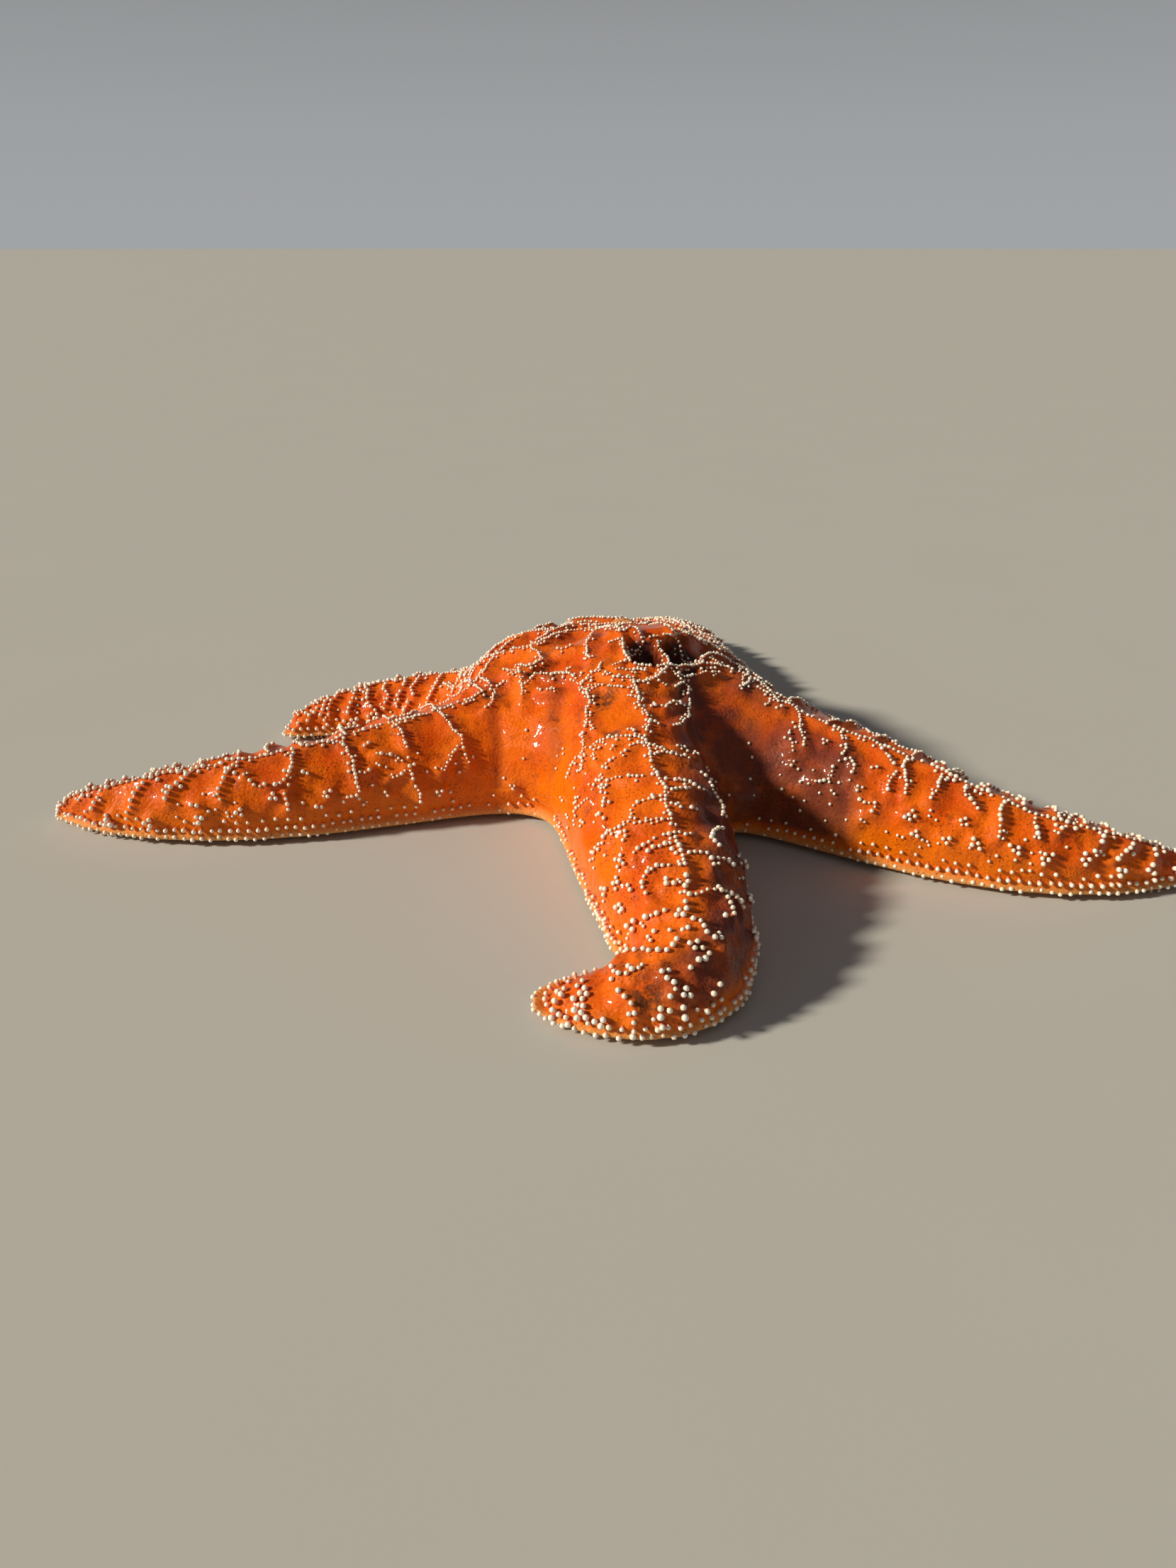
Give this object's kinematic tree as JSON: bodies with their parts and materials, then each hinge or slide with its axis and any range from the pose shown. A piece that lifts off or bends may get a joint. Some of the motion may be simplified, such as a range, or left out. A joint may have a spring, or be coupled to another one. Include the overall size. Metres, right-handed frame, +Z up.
{
  "type": "sea star",
  "caption": "Sea star lying flat, with a humped disc and tapering arms, one of them curled, grooves under the arms and a central mouth",
  "frame": {"origin": "middle of the mouth's flat underside, on the floor that the animal lies on", "axes": "+Z up from the floor to the humped back, +X along the animal's span from the left arm to the right arm, -Y towards the front arm, which curls"},
  "size_m": [0.2613, 0.2317, 0.0413],
  "materials": {
    "skin": "wet orange skin",
    "spines": "cream chalky beads",
    "plate": "pale grooved plate",
    "mouth": "pale soft skin",
    "tube_feet": "pale translucent suckers"
  },
  "bodies": {
    "root": {"disc": "skin", "arm_left_base": "skin", "arm_left_middle": "skin", "arm_left_tip": "skin", "arm_front_base": "skin", "arm_front_middle": "skin", "arm_front_tip": "skin", "arm_right_base": "skin", "arm_right_middle": "skin", "arm_right_tip": "skin", "arm_back_base": "skin", "arm_back_middle": "skin", "arm_back_tip": "skin", "arm_back_left_base": "skin", "arm_back_left_middle": "skin", "arm_back_left_tip": "skin", "madreporite": "plate", "mouth": "mouth"}
  },
  "joints": []
}
